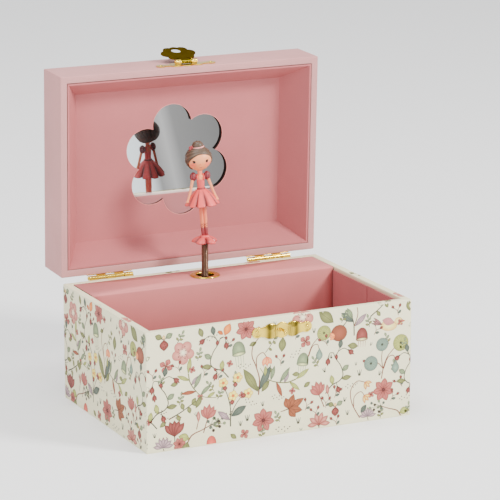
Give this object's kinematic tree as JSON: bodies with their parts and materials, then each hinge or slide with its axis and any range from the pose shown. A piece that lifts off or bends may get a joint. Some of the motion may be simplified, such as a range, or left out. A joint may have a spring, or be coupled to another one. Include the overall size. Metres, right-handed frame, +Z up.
{
  "type": "jewellery box",
  "caption": "Paper-covered musical jewellery box with a hinged mirrored lid, brass hasp, wind-up comb movement and a dancer that spins on a coil spring and folds down as the lid shuts.",
  "frame": {"origin": "centre of the underside of the box body", "axes": "+Z up, the compartment's front wall with the catch faces -Y, +X to the right seen from the front"},
  "size_m": [0.19, 0.1756, 0.2281],
  "materials": {
    "board": "grey-brown pulp board, matt",
    "print_paper": "matt cream paper printed with small meadow flowers",
    "pink_paper": "matt dusty-pink paper with a fine tooth",
    "pink_lining": "matt rose-pink lining card",
    "brass": "polished stamped brass",
    "steel": "bright drawn steel",
    "spring_steel": "dark close-wound spring wire",
    "zinc": "cast zinc, satin",
    "mirror": "silvered glass",
    "foam": "white foam pad",
    "dress": "satin-painted salmon pink",
    "skin": "painted skin tone",
    "hair": "painted brown hair",
    "rose": "satin-painted deep rose",
    "petal": "satin-painted pink petals"
  },
  "bodies": {
    "box": {"base_board": "board", "base_paper": "pink_paper", "front_board": "board", "back_board": "board", "left_board": "board", "right_board": "board", "body_wrap_paper": "print_paper", "floor_lining": "pink_lining", "front_lining": "pink_lining", "left_lining": "pink_lining", "right_lining": "pink_lining", "mechanism_partition": "pink_lining", "mechanism_cover": "pink_lining", "grommet": "brass", "catch_plate": "brass", "catch_hook": "brass", "catch_nails": "brass", "hinge_body_leaves": "brass", "hinge_pins": "brass", "body_hinge_screws": "brass", "movement_bedplate": "zinc", "movement_screws": "steel", "comb": "steel", "comb_screws": "steel", "spring_housing": "steel", "mainspring": "steel"},
    "lid": {"lid_top_board": "board", "lid_front_board": "board", "lid_back_board": "board", "lid_left_board": "board", "lid_right_board": "board", "lid_wrap_paper": "pink_paper", "lid_tray": "pink_lining", "mirror_panel": "pink_lining", "mirror": "mirror", "mirror_backing": "foam", "hinge_lid_leaves": "brass", "lid_hinge_screws": "brass", "hasp_plate": "brass", "hasp_pin": "brass", "hasp_nails": "brass"},
    "hasp": {"hasp_flap": "brass"},
    "spring": {"coil_spring": "spring_steel"},
    "dancer": {"figure_base": "petal", "figure_legs": "skin", "figure_dress": "dress", "figure_sleeves": "rose", "figure_arms": "skin", "figure_head": "skin", "figure_hair": "hair"},
    "drum": {"drum": "brass", "drum_spindle": "steel", "drum_gear": "brass"},
    "winder": {"winding_arbor": "steel", "great_wheel": "brass", "winding_key": "steel"},
    "governor_wheel": {"governor_pinion": "brass", "worm_wheel": "brass"},
    "fly": {"worm_shaft": "steel", "fly_vane": "steel"}
  },
  "joints": [
    {"name": "lid_hinge", "type": "hinge", "parent": "box", "child": "lid", "pos_m": [0, 0.0708, 0.07985], "axis": [1, 0, 0], "range_deg": [0, 88]},
    {"name": "hasp_hinge", "type": "hinge", "parent": "lid", "child": "hasp", "pos_m": [0, 0.0732, 0.22182], "axis": [1, 0, 0], "range_deg": [0, 167]},
    {"name": "dancer_fold", "type": "hinge", "parent": "box", "child": "spring", "pos_m": [0, 0.0475, 0.09], "axis": [1, 0, 0], "range_deg": [0, 94.5], "deforming": ["coil_spring"]},
    {"name": "dancer_spin", "type": "hinge", "parent": "spring", "child": "dancer", "pos_m": [0, 0.0475, 0.1015], "axis": [0, 0, 1], "continuous": true},
    {"name": "drum_spin", "type": "hinge", "parent": "box", "child": "drum", "pos_m": [0, 0.0475, 0.05], "axis": [0, 0, 1], "continuous": true},
    {"name": "key_spin", "type": "hinge", "parent": "box", "child": "winder", "pos_m": [0, 0.06, 0.022], "axis": [0, 1, 0], "continuous": true},
    {"name": "governor_spin", "type": "hinge", "parent": "box", "child": "governor_wheel", "pos_m": [0.012, 0.0475, 0.05], "axis": [0, 0, 1], "continuous": true},
    {"name": "fly_spin", "type": "hinge", "parent": "box", "child": "fly", "pos_m": [0.0199, 0.0475, 0.0376], "axis": [0, 1, 0], "continuous": true}
  ],
  "couplings": [
    {"joint": "dancer_fold", "follows": "lid_hinge", "ratio": 1.0739},
    {"joint": "dancer_spin", "follows": "drum_spin", "ratio": 1},
    {"joint": "key_spin", "follows": "drum_spin", "ratio": 0.3},
    {"joint": "governor_spin", "follows": "drum_spin", "ratio": -3},
    {"joint": "fly_spin", "follows": "drum_spin", "ratio": 72}
  ]
}
